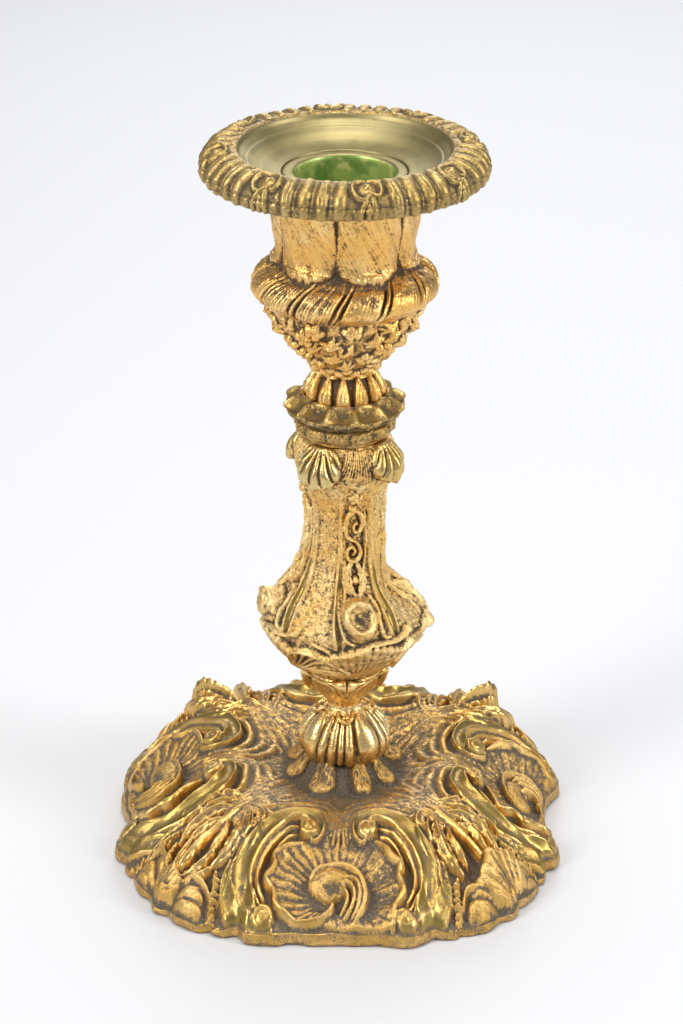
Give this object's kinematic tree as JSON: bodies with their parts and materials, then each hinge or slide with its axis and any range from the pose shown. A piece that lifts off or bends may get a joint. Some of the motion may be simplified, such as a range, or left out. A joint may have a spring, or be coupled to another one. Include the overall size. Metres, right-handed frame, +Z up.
{
  "type": "table candlestick",
  "caption": "Gilt bronze rococo table candlestick with a lobed scrollwork foot, baluster stem, floral cup and lift-out nozzle with drip pan.",
  "frame": {"origin": "on the table, at the middle of the foot", "axes": "+Z up along the stem; -Y towards the viewer, through the middle of one cartouche of the foot"},
  "size_m": [0.1176, 0.1176, 0.1848],
  "materials": {
    "gilt_bronze": "fire gilt over chased bronze, worn bright on the high points and dark in the recesses",
    "bright_gilt": "bright burnished gilding",
    "red_gilt": "matt reddish gilding with dark recesses",
    "pale_brass": "bare brass, greyed and greenish",
    "turned_brass": "turned brass with fine circular marks and green verdigris in the bore",
    "iron": "dark oiled wrought iron"
  },
  "bodies": {
    "stick": {"base": "gilt_bronze", "stem_foot": "bright_gilt", "stem": "gilt_bronze", "scalloped_collar": "pale_brass", "candle_cup": "red_gilt", "tie_rod": "iron", "cup_nut": "iron", "base_washer": "iron", "base_nut": "iron"},
    "nozzle": {"candle_nozzle": "turned_brass"},
    "pan": {"drip_pan": "pale_brass"}
  },
  "joints": [
    {"name": "nozzle_lift", "type": "slide", "parent": "stick", "child": "nozzle", "axis": [0, 0, 1], "range_m": [0, 0.035]},
    {"name": "pan_spin", "type": "hinge", "parent": "nozzle", "child": "pan", "pos_m": [0, 0, 0.1766], "axis": [0, 0, 1], "continuous": true}
  ]
}
